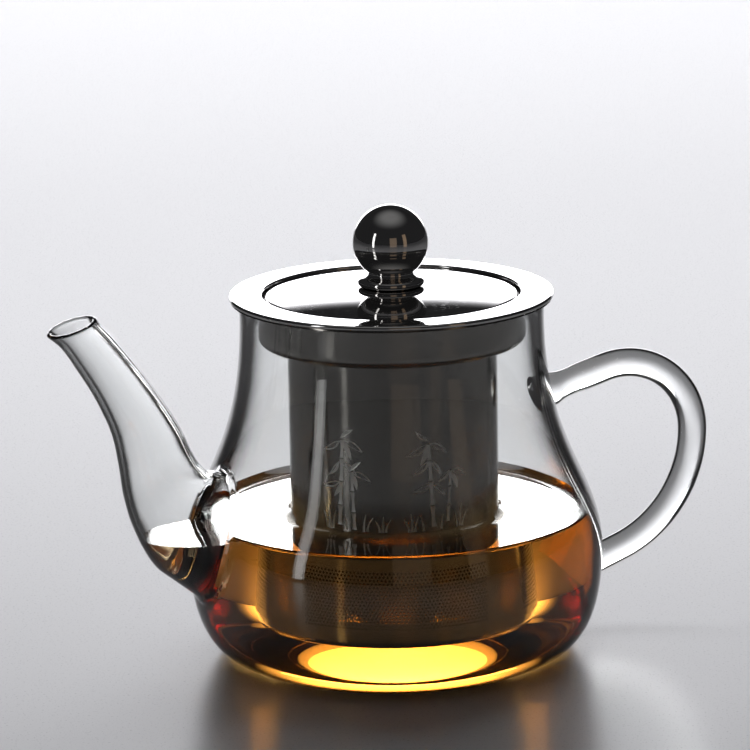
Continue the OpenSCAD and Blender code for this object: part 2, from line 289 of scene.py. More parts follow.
class Shader:
    """A node tree that is filled one node at a time."""

    def __init__(self, tree):
        """Keeps the tree that the nodes go into."""
        self.tree = tree

    def add(self, kind, settings=(), **inputs):
        """Adds a node. Inputs are values or the output sockets that feed them."""
        node = self.tree.nodes.new(kind)
        for key, value in dict(settings).items():
            setattr(node, key, value)
        for key, value in inputs.items():
            numbered = key[0] == "i" and key[1:].isdigit()
            self.feed(node.inputs[int(key[1:]) if numbered else key.replace("_", " ")], value)
        return node

    def feed(self, socket, value):
        """Links an output socket to an input, or sets the input to a value."""
        if isinstance(value, bpy.types.NodeSocket):
            self.tree.links.new(value, socket)
        else:
            socket.default_value = value

    def maths(self, operation, a, b=0.0, clamp=False):
        """A Math node's result."""
        settings = {"operation": operation, "use_clamp": clamp}
        return self.add("ShaderNodeMath", settings, i0=a, i1=b).outputs[0]

    def spread(self, value, low, high, to_low=0.0, to_high=1.0):
        """A value mapped from one range to another, smoothly."""
        node = self.add("ShaderNodeMapRange", {"interpolation_type": "SMOOTHSTEP"}, Value=value)
        for key, number in zip(("From Min", "From Max", "To Min", "To Max"),
                               (low, high, to_low, to_high)):
            node.inputs[key].default_value = number
        return node.outputs[0]

    def noise(self, vector, scale, detail=2.0, rough=0.5):
        """A noise texture's value."""
        return self.add("ShaderNodeTexNoise", Vector=vector, Scale=scale, Detail=detail,
                        Roughness=rough).outputs["Fac"]

    def blend(self, factor, a, b):
        """A mix of two colours."""
        node = self.tree.nodes.new("ShaderNodeMix")
        node.data_type = "RGBA"
        for index, value in zip(MIX_COLOUR_INPUTS, (factor, a, b)):
            plain = isinstance(value, (float, bpy.types.NodeSocket))
            self.feed(node.inputs[index], value if plain else (*value, 1)[:4])
        return node.outputs[2]

    def group(self, tree, **inputs):
        """A node group with its values."""
        return self.add("ShaderNodeGroup", {"node_tree": tree}, **inputs)


def new_group(name, inputs, outputs):
    """A shader node group with named sockets, given as (name, type, default)."""
    tree = bpy.data.node_groups.new(name, "ShaderNodeTree")
    for direction, sockets in (("INPUT", inputs), ("OUTPUT", outputs)):
        for label, kind, default in sockets:
            socket = tree.interface.new_socket(name=label, in_out=direction, socket_type=kind)
            if default is not None:
                socket.default_value = default
    shader = Shader(tree)
    return shader, shader.add("NodeGroupInput"), shader.add("NodeGroupOutput")


def new_material(name):
    """An empty node material with its Principled shader and output."""
    material = bpy.data.materials.new(name)
    material.use_nodes = True
    material.node_tree.nodes.clear()
    shader = Shader(material.node_tree)
    principled = shader.add("ShaderNodeBsdfPrincipled")
    output = shader.add("ShaderNodeOutputMaterial", Surface=principled.outputs[0])
    return material, shader, principled, output


def handling_group():
    """Smudges and fine scratches left by hands and cloths, shared by all the steels."""
    found = bpy.data.node_groups.get("handling marks")
    if found:
        return found
    shader, inlet, outlet = new_group(
        "handling marks",
        [("Vector", "NodeSocketVector", None), ("Smudges", "NodeSocketFloat", 0.5),
         ("Scratches", "NodeSocketFloat", 0.5)],
        [("Dulling", "NodeSocketFloat", None), ("Height", "NodeSocketFloat", None)])
    vector = inlet.outputs["Vector"]
    patches = shader.spread(shader.noise(vector, 70.0, 3.0), 0.48, 0.72)
    prints = shader.spread(shader.noise(vector, 900.0, 2.0), 0.45, 0.7)
    smudges = shader.maths("MULTIPLY", shader.maths("MULTIPLY", patches, prints),
                           inlet.outputs["Smudges"])
    stretched = shader.add("ShaderNodeMapping", Vector=vector, Scale=(1.0, 1.0, 14.0),
                           Rotation=(0.5, 0.3, 0.9)).outputs[0]
    lines = shader.spread(shader.noise(stretched, 260.0, 2.0), 0.66, 0.72)
    scratches = shader.maths("MULTIPLY", lines, inlet.outputs["Scratches"])
    shader.feed(outlet.inputs["Dulling"], shader.maths("ADD", smudges, scratches))
    shader.feed(outlet.inputs["Height"], scratches)
    return shader.tree


def grain_group():
    """Fine lines or grit in a metal, by how each axis is scaled, and a slow unevenness."""
    found = bpy.data.node_groups.get("metal grain")
    if found:
        return found
    shader, inlet, outlet = new_group(
        "metal grain",
        [("Vector", "NodeSocketVector", None), ("Scale", "NodeSocketVector", None)],
        [("Grain", "NodeSocketFloat", None), ("Cloud", "NodeSocketFloat", None)])
    along = shader.add("ShaderNodeVectorMath", {"operation": "MULTIPLY"},
                       i0=inlet.outputs["Vector"], i1=inlet.outputs["Scale"]).outputs[0]
    shader.feed(outlet.inputs["Grain"], shader.noise(along, 1.0, 3.0, 0.6))
    shader.feed(outlet.inputs["Cloud"], shader.noise(inlet.outputs["Vector"], 60.0, 2.0))
    return shader.tree


def steel_material(name, tint, roughness, grain_scale, grain_depth, smudges, scratches):
    """Steel with a grain of fine lines round the piece, smudges and scratches.

    grain_scale stretches the grain: its larger part is the direction across the lines."""
    found = bpy.data.materials.get(name)
    if found:
        return found
    material, shader, principled, _ = new_material(name)
    place = shader.add("ShaderNodeTexCoord").outputs["Object"]
    marks = shader.group(handling_group(), Vector=place, Smudges=smudges, Scratches=scratches)
    texture = shader.group(grain_group(), Vector=place, Scale=grain_scale).outputs
    grain = texture["Grain"]
    shade = shader.spread(texture["Cloud"], 0.3, 0.7, 0.9, 1.04)
    dull = shader.blend(marks.outputs["Dulling"], tint, tuple(c * 0.86 for c in tint))
    toned = shader.add("ShaderNodeVectorMath", {"operation": "SCALE"}, i0=dull)
    shader.feed(toned.inputs["Scale"], shade)
    shader.feed(principled.inputs["Base Color"], toned.outputs[0])
    principled.inputs["Metallic"].default_value = 1.0
    rough = shader.maths("ADD", shader.spread(grain, 0.2, 0.8, roughness * 0.7, roughness * 1.3),
                         shader.maths("MULTIPLY", marks.outputs["Dulling"], 0.16), clamp=True)
    shader.feed(principled.inputs["Roughness"], rough)
    height = shader.maths("ADD", grain, shader.maths("MULTIPLY", marks.outputs["Height"], -0.5))
    bump = shader.add("ShaderNodeBump", Height=height, Distance=grain_depth, Strength=1.0)
    shader.feed(principled.inputs["Normal"], bump.outputs[0])
    return material


# ---------------------------------------------------------------- the glass


def body_outside(glass):
    """Outside of the body as (radius, height) points, from the base's edge to the rim."""
    belly_r, rim_z = POT_HIGH.y, POT_HIGH.z
    points = [Vector(p) for p in (
        (glass.base_radius, 0), (glass.base_radius + 7.2 * MM, 0),
        (belly_r, glass.belly_height - 21 * MM), (belly_r, glass.belly_height),
        (belly_r, glass.belly_height + 21.5 * MM),
        (glass.rim_radius - 0.9 * MM, rim_z - 43 * MM),
        (glass.rim_radius, rim_z - glass.rim_round))]
    bowl, neck = points[:4], points[3:]
    return [bowl[0]] + bezier(*bowl, 34) + bezier(*neck, 52)


def radius_at(path, height):
    """Radius of a rising (radius, height) path at a height."""
    for low, high in zip(path, path[1:]):
        if low.y <= height <= high.y and high.y > low.y:
            return low.x + (high.x - low.x) * (height - low.y) / (high.y - low.y)
    return path[-1].x if height > path[-1].y else path[0].x


def body_outer(glass):
    """The body with no hollow, up to its rounded rim."""
    rim_z, r = POT_HIGH.z, glass.rim_round
    foot = glass.base_radius - 2 * MM
    hollow = [Vector((foot * i / 12, glass.kick * math.cos(math.pi / 2 * (i / 12) ** 2)))
              for i in range(13)]
    path = body_outside(glass)[:-1] + arc((glass.rim_radius - r, rim_z - r), r, 0, 90, 6)
    return spun(hollow + path + [Vector((0, rim_z))], 208)


def inner_path(glass, inset):
    """The hollow's outline, a wall inside the body, without its way out at the top."""
    return moved(body_outside(glass)[:-2], glass.wall - inset)


def body_inner(glass):
    """The hollow of the body, which flares past the rim so that the rim's inner edge is round."""
    rim_z, r = POT_HIGH.z, glass.rim_round
    rim_in = glass.rim_radius - glass.wall
    path = inner_path(glass, 0)
    path += [Vector((rim_in, rim_z - r))] + arc((rim_in + r, rim_z - r), r, 170, 105, 5)
    path += [Vector((path[-1].x, rim_z + 4 * MM))]
    return spun([Vector((0, glass.wall))] + path + [Vector((0, rim_z + 4 * MM))], 208)


# The spout's stations: share of the reach, share of the rise, lean from level in degrees,
# share of the taper from the root to the neck, and width for its height
SPOUT_STATIONS = (
    (0.118, 0.287, 29, 0.764, 0.94),
    (0.245, 0.370, 45, 0.571, 0.94),
    (0.324, 0.459, 56, 0.433, 1.0),
    (0.385, 0.560, 62, 0.305, 1.0),
    (0.476, 0.663, 62, 0.180, 1.0),
    (0.633, 0.786, 58, 0.090, 1.0),
    (0.809, 0.898, 56, 0.030, 1.0),
    (0.930, 0.967, 63, 0.000, 1.0),
)
ROOT_HEIGHT, ROOT_WIDTH, ROOT_Z = 34.5 * MM, 31 * MM, 37.2 * MM
REACH, NECK_D, LIP_D, LIP_UP, LIP_LEAN = 33 * MM, 12.2 * MM, 14 * MM, 0.2 * MM, 73


def catmull(a, b, c, d, t):
    """A value between b and c that runs on smoothly from a and to d."""
    return 0.5 * (2 * b + (c - a) * t + (2 * a - 5 * b + 4 * c - d) * t * t
                  + (3 * b - a - 3 * c + d) * t ** 3)


def spout_places(glass, inset, steps, sunk, past):
    """The spout's stations for one skin: its root sunk into the body, its mouth carried past."""
    outside = body_outside(glass)
    foot_z = ROOT_Z - ROOT_HEIGHT / 2
    rise = POT_HIGH.z + LIP_UP - foot_z
    low = Vector((radius_at(outside, foot_z), foot_z))
    high = Vector((radius_at(outside, foot_z + ROOT_HEIGHT), foot_z + ROOT_HEIGHT))
    span = (high - low).length
    middle = (low + high) / 2
    rows = [Vector((middle.x, middle.y, math.degrees(math.atan2(low.x - high.x, high.y - low.y)),
                    span, ROOT_WIDTH / span))]
    for out, up, lean, taper, wide in SPOUT_STATIONS:
        rows.append(Vector((POT_HIGH.y + REACH * out, foot_z + rise * up, lean,
                            NECK_D + (span - NECK_D) * taper, wide)))
    rows.append(Vector((POT_HIGH.y + REACH, foot_z + rise, LIP_LEAN, LIP_D, 1.0)))

    def on_body(grow, out):
        """A ring on the body's skin, grown round the root and lifted off the skin."""

        def place(u, v):
            y = (ROOT_WIDTH / 2 - inset + grow) * u
            z = ROOT_Z + (ROOT_HEIGHT / 2 - inset + grow) * v
            return Vector((-math.sqrt(radius_at(outside, z) ** 2 - y * y) - out, y, z))
        return place

    def across(row, grow=0.0, on=0.0):
        """A ring square to the spout's run."""
        x, z, lean, size, wide = row
        level = Vector((math.sin(math.radians(lean)), -math.cos(math.radians(lean))))
        ahead = Vector((math.cos(math.radians(lean)), math.sin(math.radians(lean))))
        half = size / 2 - inset + grow
        half_wide = size / 2 * wide - inset + grow

        def place(u, v):
            q = Vector((x, z)) - level * half * v + ahead * on
            return Vector((-q.x, half_wide * u, q.y))
        return place

    places = [on_body(glass.seam * grow, out) for grow, out in sunk]
    for k in range(len(rows) - 1):
        near = rows[max(k - 1, 0)], rows[k], rows[k + 1], rows[min(k + 2, len(rows) - 1)]
        for i in range(1, steps + 1):
            t = i / steps
            if k == 0:
                places.append(lambda u, v, skin=on_body(0, 0), ring=across(rows[1]), t=t:
                              skin(u, v).lerp(ring(u, v), t))
            else:
                places.append(across(catmull(*near, t)))
    places += [across(rows[-1], grow, on) for grow, on in past]
    return places


def spout_outer(glass):
    """The spout's outside, with a fillet at its root and a rounded lip."""
    sunk = [(1.0, -0.5 * MM), (0.85, -0.06 * MM), (0.55, 0.1 * MM), (0.25, 0.45 * MM),
            (0.05, 1.0 * MM)]
    past = [(-0.16 * MM, 0.3 * MM), (-0.45 * MM, 0.46 * MM)]
    return lofted(spout_places(glass, 0.0, 7, sunk, past), 96)


def spout_inner(glass, inset=0.0):
    """The spout's channel, from inside the body to past the lip."""
    sunk = [(0.5, -5 * MM), (0.28, -2.2 * MM), (0.1, -1.5 * MM), (0.0, -0.8 * MM)]
    past = [(0.12 * MM, 0.15 * MM), (0.5 * MM, 0.47 * MM), (0.6 * MM, 2 * MM)]
    return lofted(spout_places(glass, glass.spout_wall - inset, 7, sunk, past), 96)


def handle_line(glass):
    """The rod's middle line in the XZ plane, as (x, z, lean) with the way along it in radians."""
    upper_slope, lower_slope = math.radians(15.5), math.radians(20.5)
    upper_r, lower_r = 21 * MM, 34 * MM
    outside = body_outside(glass)
    outermost = HANDLE_HIGH.x - glass.rod
    upper_z = POT_HIGH.z - 30.6 * MM
    upper_x = radius_at(outside, upper_z)
    arm_end = outermost - upper_r * (1 + math.sin(upper_slope))
    bend_z = upper_z + (arm_end - upper_x) * math.tan(upper_slope) - upper_r * math.cos(upper_slope)
    low_end = Vector((outermost - lower_r * (1 - math.sin(lower_slope)),
                      bend_z - lower_r * math.cos(lower_slope)))
    low_x = radius_at(outside, low_end.y - 12 * MM)
    sunk, step = 2.6 * MM, 1.3 * MM
    start = Vector((upper_x - sunk, upper_z - sunk * math.tan(upper_slope)))
    arm = Vector((arm_end, bend_z + upper_r * math.cos(upper_slope))) - start
    count = round(arm.length / step)
    line = [(start + arm * i / count, upper_slope) for i in range(count)]
    for radius, first, last in ((upper_r, math.pi / 2 + upper_slope, 0.0),
                                (lower_r, 0.0, lower_slope - math.pi / 2)):
        count = round(radius * (first - last) / step)
        centre = Vector((outermost - radius, bend_z))
        for i in range(count):
            turn = first + (last - first) * i / count
            line.append((centre + radius * Vector((math.cos(turn), math.sin(turn))),
                         turn - math.pi / 2))
    lean = lower_slope - math.pi
    ahead = Vector((math.cos(lean), math.sin(lean)))
    reach = (low_end.x - low_x + sunk) / math.cos(lower_slope)
    count = round(reach / step)
    line += [(low_end + ahead * reach * i / count, lean) for i in range(count + 1)]
    return line


def handle_rod(glass):
    """The bent rod with a gather of glass where it is fused to the body."""
    line = handle_line(glass)
    run = [0.0]
    for (a, _), (b, _) in zip(line, line[1:]):
        run.append(run[-1] + (b - a).length)

    def thickness(s):
        """The rod's radius at a distance along it: gathers at its ends, slightly uneven between."""
        upper, lower = s - 2.6 * MM, run[-1] - s - 2.6 * MM
        gather = 0.75 * MM * math.exp(-((upper - 2.2 * MM) / (2.0 * MM)) ** 2)
        waist = -0.25 * MM * math.exp(-((upper - 7.5 * MM) / (3 * MM)) ** 2)
        fillet = 1.5 * MM * math.exp(-max(lower, 0) / (1.1 * MM)) \
            + 0.9 * MM * math.exp(-max(upper, 0) / (0.7 * MM))
        return glass.rod + gather + waist + fillet - 0.02 * MM

    def station(point, lean, radius):
        """A ring square to the rod at a point of its line."""
        side = Vector((-math.sin(lean), math.cos(lean)))
        return lambda u, v: Vector((point.x + side.x * radius * v, radius * u,
                                    point.y + side.y * radius * v))

    return lofted([station(p, lean, thickness(s)) for (p, lean), s in zip(line, run)], 56)


def clear(principled, ior):
    """Makes the shader clear, smooth and colourless inside."""
    for key, value in (("Metallic", 0.0), ("Roughness", 0.0), ("IOR", ior),
                       ("Transmission Weight", 1.0)):
        principled.inputs[key].default_value = value


def glass_material(glass):
    """Clear glass with the slight waves of hand-blown work, with a painted dark outline where the
    wall is seen edge on. The outline stands in for the dark room that the edges show by refraction,
    and it is wider on the spout and the rod.
    """
    material, shader, principled, _ = new_material("clear glass")
    place = shader.add("ShaderNodeTexCoord").outputs["Object"]
    drawn = shader.add("ShaderNodeMapping", Vector=place, Scale=(1.0, 1.0, 0.25)).outputs[0]
    waves = shader.maths("ADD", shader.noise(drawn, 60.0, 1.0),
                         shader.maths("MULTIPLY", shader.noise(drawn, 240.0, 1.0), 0.12))
    bump = shader.add("ShaderNodeBump", Height=waves, Distance=0.4 * MM, Strength=glass.waviness)
    shader.feed(principled.inputs["Normal"], bump.outputs[0])
    # Painted shade: the glass colour turns near black where it is seen edge on, and sooner on the
    # spout and the rod, in place of the dark room that the edges refract
    facing = shader.add("ShaderNodeLayerWeight", Blend=0.5).outputs["Facing"]
    across = shader.add("ShaderNodeSeparateXYZ", Vector=place).outputs[0]
    spout_painted_shade = shader.spread(across, -62 * MM, -57 * MM, 0.12, 0.0)
    rod_painted_shade = shader.spread(across, 57 * MM, 62 * MM, 0.0, 0.22)
    thin_parts_painted_shade = shader.maths("ADD", spout_painted_shade, rod_painted_shade)
    edge = shader.spread(shader.maths("ADD", facing, thin_parts_painted_shade), 0.52, 0.74)
    shader.feed(principled.inputs["Base Color"],
                shader.blend(edge, tuple(glass.tint), tuple(glass.painted_edge_shade)))
    clear(principled, 1.47)
    return material


class TEAPOT_OT_glass(bpy.types.Operator):
    """Make the blown body, the spout and the rod handle as one fused piece of glass"""

    bl_idname = "teapot.glass"
    bl_label = "Glass"

    def execute(self, context):
        """Makes the solid outside, takes the hollow from it and dresses the piece."""
        glass = context.scene.teapot_glass
        solid = combined(body_outer(glass), [spout_outer(glass), handle_rod(glass)], "UNION")
        hollow = combined(body_inner(glass), [spout_inner(glass)], "UNION")
        pot = combined(solid, [hollow], "DIFFERENCE")
        dressed(pot, "fused_glass", "pot", glass_material(glass),
                ("pot_body", "spout", "handle"), sharp=60)
        return {"FINISHED"}


# ---------------------------------------------------------------- the tea


def tea_material(tea):
    """Clear amber tea, coloured by how far the light goes through it."""
    material, shader, principled, output = new_material("brewed tea")
    place = shader.add("ShaderNodeTexCoord").outputs["Object"]
    ripples = shader.noise(place, 90.0, 1.0)
    bump = shader.add("ShaderNodeBump", Height=ripples, Distance=0.05 * MM, Strength=0.12)
    shader.feed(principled.inputs["Normal"], bump.outputs[0])
    clear(principled, 1.333)
    principled.inputs["Base Color"].default_value = (1, 1, 1, 1)
    absorption = shader.add("ShaderNodeVolumeAbsorption", Color=(*tea.colour, 1),
                            Density=tea.strength)
    shader.feed(output.inputs["Volume"], absorption.outputs[0])
    return material


class TEAPOT_OT_tea(bpy.types.Operator):
    """Fill the pot and the spout's root with tea up to its level"""

    bl_idname = "teapot.tea"
    bl_label = "Tea"

    def execute(self, context):
        """Spins the bowl with its climbing edges and joins the spout's share to it."""
        glass, tea = context.scene.teapot_glass, context.scene.teapot_tea
        wall = [p for p in inner_path(glass, tea.overlap) if p.y < tea.level + tea.meniscus]
        edge = radius_at(inner_path(glass, tea.overlap), tea.level + tea.meniscus)
        tube_r = TUBE_HIGH.y
        reach = 4 * MM

        def climb(distance):
            """How far the surface stands above its level, at a distance from a wall."""
            return tea.meniscus * (1 - distance / reach) ** 3 if distance < reach else 0.0

        steps = 10
        surface = [Vector((edge - reach * i / steps, tea.level + climb(reach * i / steps)))
                   for i in range(steps + 1)]
        surface += [Vector((tube_r + reach * (1 - i / steps),
                            tea.level + 0.6 * climb(reach * (1 - i / steps))))
                    for i in range(steps + 1)]
        surface += [Vector((tube_r - reach * i / steps, tea.level + 0.6 * climb(reach * i / steps)))
                    for i in range(1, steps + 1)]
        floor_z = glass.wall - tea.overlap
        bowl = spun([Vector((0, floor_z))] + wall + surface + [Vector((0, tea.level))], 160)
        for v in bowl.verts:
            if v.co.x < -glass.base_radius and abs(v.co.y) < 14 * MM and v.co.z > tea.level:
                v.co.z = tea.level
        channel = spout_inner(glass, tea.overlap)
        bmesh.ops.bisect_plane(channel, geom=channel.verts[:] + channel.edges[:] + channel.faces[:],
                               plane_co=(0, 0, tea.level), plane_no=(0, 0, 1), clear_outer=True)
        bmesh.ops.holes_fill(channel, edges=channel.edges, sides=0)
        bmesh.ops.recalc_face_normals(channel, faces=channel.faces)
        body = combined(bowl, [channel], "UNION")
        dressed(body, "brewed_tea", "pot", tea_material(tea), sharp=50)
        return {"FINISHED"}


# ---------------------------------------------------------------- the infuser


def infuser_steel(steel):
    """Drawn sheet whose colour is set darker than bare steel as painted shade, so that the tube
    reads dark. A fine grain round the tube draws highlights out upwards.
    """
    material = steel_material("drawn steel", tuple(steel.infuser), 0.13, (30.0, 30.0, 9000.0),
                              0.012 * MM, 0.5, 0.5)
    shader = Shader(material.node_tree)
    principled = next(n for n in shader.tree.nodes if n.type == "BSDF_PRINCIPLED")
    if not principled.inputs["Tangent"].links:
        round_z = shader.add("ShaderNodeTangent", {"direction_type": "RADIAL", "axis": "Z"})
        shader.feed(principled.inputs["Tangent"], round_z.outputs[0])
        principled.inputs["Anisotropic"].default_value = 0.75
        principled.inputs["Anisotropic Rotation"].default_value = 0.25
    return material


def repeated(bm, count, step):
    """Repeats all that the bmesh holds, count times in all, each one step further on."""
    per_copy = len(bm.faces)
    have = 1
    while have < count:
        bm.faces.ensure_lookup_table()
        faces = bm.faces[:min(have, count - have) * per_copy]
        geom = list({v for f in faces for v in f.verts}) + list({e for f in faces for e in f.edges})
        copied = bmesh.ops.duplicate(bm, geom=geom + faces)["geom"]
        bmesh.ops.translate(bm, verts=[g for g in copied if isinstance(g, bmesh.types.BMVert)],
                            vec=have * Vector(step))
        have += len(faces) // per_copy


def honeycomb(steel, columns, radius):
    """The straining band as a flat sheet of six-sided cells with holes, and its edges' heights."""
    pitch = TAU * radius / columns
    row_pitch = pitch * math.sqrt(3) / 2
    low, top = steel.band_low, steel.band_low + steel.hole_rows * row_pitch
    bm = bmesh.new()
    for x, y in ((0, -0.5), (0.5, 0.5)):
        bmesh.ops.create_circle(bm, cap_ends=True, segments=6, radius=pitch / math.sqrt(3),
                                matrix=Matrix.Translation((x * pitch, low + y * row_pitch, 0)))
    repeated(bm, columns, (pitch, 0, 0))
    repeated(bm, steel.hole_rows // 2 + 2, (0, 2 * row_pitch, 0))
    bmesh.ops.remove_doubles(bm, verts=bm.verts, dist=0.02 * pitch)
    period = TAU / steel.panels
    open_cells = []
    for face in bm.faces:
        x, y, _ = face.calc_center_median()
        off_middle = abs((x / radius + period / 2) % period - period / 2)
        if off_middle < (period - steel.panel_gap) / 2 and low < y < top:
            open_cells.append(face)
    bmesh.ops.inset_individual(bm, faces=open_cells, use_even_offset=True,
                               thickness=(pitch - steel.hole_diameter) / 2)
    bmesh.ops.delete(bm, geom=open_cells, context="FACES_ONLY")
    for height, normal in ((low - row_pitch / 2, (0, -1, 0)), (top + row_pitch / 2, (0, 1, 0))):
        bmesh.ops.bisect_plane(bm, geom=bm.verts[:] + bm.edges[:] + bm.faces[:],
                               plane_co=(0, height, 0), plane_no=normal, clear_outer=True)
    return bm, low - row_pitch / 2, top + row_pitch / 2


class TEAPOT_OT_infuser(bpy.types.Operator):
    """Make the infuser: its flanged collar, its perforated tube and its base cup"""

    bl_idname = "teapot.infuser"
    bl_label = "Infuser"

    def execute(self, context):
        """Makes the four parts of the infuser."""
        steel = context.scene.teapot_steel
        material = infuser_steel(steel)
        self.collar(steel, material)
        self.tube(steel, material)
        self.base(steel, material)
        self.etching(steel)
        return {"FINISHED"}

    def collar(self, steel, material):
        """The flange that hangs on the glass rim, the collar wall, the shoulder and the lip."""
        rim_z, flange_r = POT_HIGH.z, COLLAR_HIGH.y
        collar_r, lip_r = 36.4 * MM, TUBE_HIGH.y + steel.sheet
        shoulder_r, shoulder_z, turn = 3 * MM, rim_z - 8.7 * MM, -75
        turned = arc((collar_r - shoulder_r, shoulder_z), shoulder_r, 0, turn, 14)
        lip_bend = turned[-1].y - (turned[-1].x - lip_r) / math.tan(math.radians(-turn))
        corner = 0.5 * MM
        path = [Vector((lip_r, lip_bend - 0.8 * MM)), Vector((lip_r, lip_bend))]
        path += list(reversed(turned))
        path += arc((collar_r + corner, rim_z - corner), corner, 180, 90, 6)
        path += [Vector((flange_r - 0.3 * MM, rim_z)), Vector((flange_r, rim_z + 0.12 * MM))]
        bm = sheet_spun(path, steel.sheet - 0.02 * MM, 192)
        dressed(bm, "collar_sheet", "infuser", material, ("infuser_collar",))

    def tube(self, steel, material):
        """The rolled tube with its straining band and plain stretches."""
        radius = TUBE_HIGH.y
        columns = round(TAU * radius / steel.hole_pitch)
        bm, low, top = honeycomb(steel, columns, radius)
        front = camera_side() - TAU / columns / 4
        wrapped(bm, radius, front)
        bmesh.ops.remove_doubles(bm, verts=bm.verts, dist=0.02 * MM)
        for foot, head in ((TUBE_LOW.z, low), (top, TUBE_HIGH.z)):
            plain = spun([Vector((radius, foot)), Vector((radius, head))], 2 * columns)
            mesh = bpy.data.meshes.new("plain")
            plain.to_mesh(mesh)
            plain.free()
            bm.from_mesh(mesh)
            bpy.data.meshes.remove(mesh)
        bmesh.ops.recalc_face_normals(bm, faces=bm.faces)
        level = Vector((1, 1, 0))
        inwards = sum(f.normal.dot(f.calc_center_median() * level) < 0 for f in bm.faces)
        if inwards > len(bm.faces) / 2:
            bmesh.ops.reverse_faces(bm, faces=bm.faces)
        bmesh.ops.solidify(bm, geom=bm.faces[:], thickness=steel.sheet)
        dressed(bm, "strainer_tube", "infuser", material, ("infuser_tube",))

    def base(self, steel, material):
        """The pressed base cup, with a shallow bead pressed into its floor."""
        cup_r, low = CUP_HIGH.y, CUP_LOW.z
        bend = 1.5 * MM
        bead = [Vector((r * MM, low + h * MM)) for r, h in (
            (0, 0.5), (15, 0.5), (16.5, 0.42), (17.5, 0.08), (18.5, 0), (23, 0))]
        path = bead + arc((cup_r - bend, low + bend), bend, -90, 0, 12)
        path += [Vector((cup_r, CUP_HIGH.z))]
        bm = sheet_spun(path, steel.sheet, 192)
        dressed(bm, "base_cup", "infuser", material, ("infuser_base",))

    def etching(self, steel):
        """Bamboo and grass etched into the front and the back of the tube, with raised outlines."""
        bm = bmesh.new()
        for stalk in STALKS:
            self.stalk(bm, *stalk)
        for leaf in LEAVES:
            self.leaf(bm, *leaf)
        for blade in BLADES:
            self.blade(bm, *blade)
        faces = bm.faces[:]
        raised = bmesh.ops.extrude_face_region(bm, geom=faces)["geom"]
        tops = [g for g in raised if isinstance(g, bmesh.types.BMFace)]
        bmesh.ops.translate(bm, verts=[g for g in raised if isinstance(g, bmesh.types.BMVert)],
                            vec=(0, 0, steel.etch_height))
        bmesh.ops.delete(bm, geom=[f for f in faces if f.is_valid], context="FACES_ONLY")
        bmesh.ops.inset_region(bm, faces=tops, thickness=0.12 * MM, depth=-0.6 * steel.etch_height)
        for f in bm.faces:
            f.smooth = True
        flat = bpy.data.meshes.new("flat")
        bm.to_mesh(flat)
        wrapped(bm, TUBE_HIGH.y, camera_side())
        back = bmesh.new()
        back.from_mesh(flat)
        wrapped(back, TUBE_HIGH.y, camera_side() + math.pi)
        back.to_mesh(flat)
        back.free()
        bm.from_mesh(flat)
        bpy.data.meshes.remove(flat)
        bmesh.ops.recalc_face_normals(bm, faces=bm.faces)
        material = steel_material("etched steel", tuple(steel.etched), 0.4, (700.0, 700.0, 700.0),
                                  0.004 * MM, 0.2, 0.3)
        dressed(bm, "etched_bamboo", "infuser", material, sharp=25)

    def stalk(self, bm, x, y, lean, size, *joints):
        """A bamboo stalk from its foot up: its joints' lengths in millimetres, a trace apart."""
        at = y
        for joint in joints:
            made = bmesh.ops.create_grid(bm, x_segments=1, y_segments=4, size=0.5)["verts"]
            for v in made:
                waist = 1 - 0.35 * (1 - (2 * v.co.y) ** 2)
                v.co = Vector((v.co.x * size * waist, (v.co.y + 0.5) * (joint - 0.35) + at, 0)) * MM
                v.co.x += x * MM + (v.co.y - y * MM) * lean
            at += joint
            size *= 0.93

    def leaf(self, bm, x, y, turn, size):
        """A pointed leaf from its stem at x, y in millimetres, hanging at an angle in degrees."""
        made = bmesh.ops.create_circle(bm, cap_ends=True, segments=14, radius=0.5)["verts"]
        way = Matrix.Rotation(math.radians(turn), 4, "Z")
        for v in made:
            along, across = v.co.x + 0.5, v.co.y
            across *= 0.34 * (1 - along) ** 0.35 * min(1, along * 3) ** 0.5
            bend = 0.06 * math.sin(math.pi * along)
            place = way @ Vector((along * size, (across + bend) * size, 0))
            v.co = (place + Vector((x, y, 0))) * MM

    def blade(self, bm, x, y, lean, height):
        """A bent blade of grass from its root at x, y in millimetres."""
        made = bmesh.ops.create_grid(bm, x_segments=1, y_segments=7, size=0.5)["verts"]
        for v in made:
            up = v.co.y + 0.5
            wide = 0.62 * (1.0 - 0.85 * up) + 0.05
            v.co = Vector((x + v.co.x * wide + lean * up ** 2, y + height * up, 0)) * MM


# Etched figures on the unrolled tube, in millimetres along its girth and above the table:
# stalks (foot, height, lean, width, joint lengths), leaves (stem, angle, length)
# and blades of grass (root, lean, height)
STALKS = (
    (-15.5, 41.5, 0.05, 1.5, 5.6, 6.6, 6.4, 5.2),
    (-11.2, 40.5, -0.04, 1.25, 4.8, 5.8, 5.4),
    (10.5, 41.0, -0.06, 1.4, 6.0, 6.8, 5.8, 4.6),
    (14.6, 42.0, 0.07, 1.1, 4.6, 5.2, 4.4),
)
LEAVES = (
    (-14.2, 65.0, -28, 6.4), (-14.4, 64.6, -62, 5.6), (-15.0, 64.8, -150, 6.0),
    (-14.8, 65.6, 35, 4.4), (-14.9, 59.2, -40, 6.2), (-15.4, 59.0, -128, 5.2),
    (-11.8, 56.4, -24, 5.8), (-11.9, 56.2, -72, 5.0), (-12.2, 56.6, 42, 4.2),
    (-15.2, 53.4, -165, 5.6), (-15.1, 53.0, -118, 4.4),
    (9.0, 64.0, -152, 6.6), (9.0, 63.6, -112, 5.8), (9.3, 64.2, -32, 6.0),
    (9.1, 64.8, 140, 4.6), (9.4, 59.4, -140, 6.0), (9.8, 59.2, -56, 5.4),
    (15.7, 56.0, -20, 5.2), (15.5, 55.6, -66, 5.4), (15.3, 56.2, -140, 4.6),
    (9.9, 53.0, -158, 5.4), (10.2, 52.6, -42, 5.0),
)
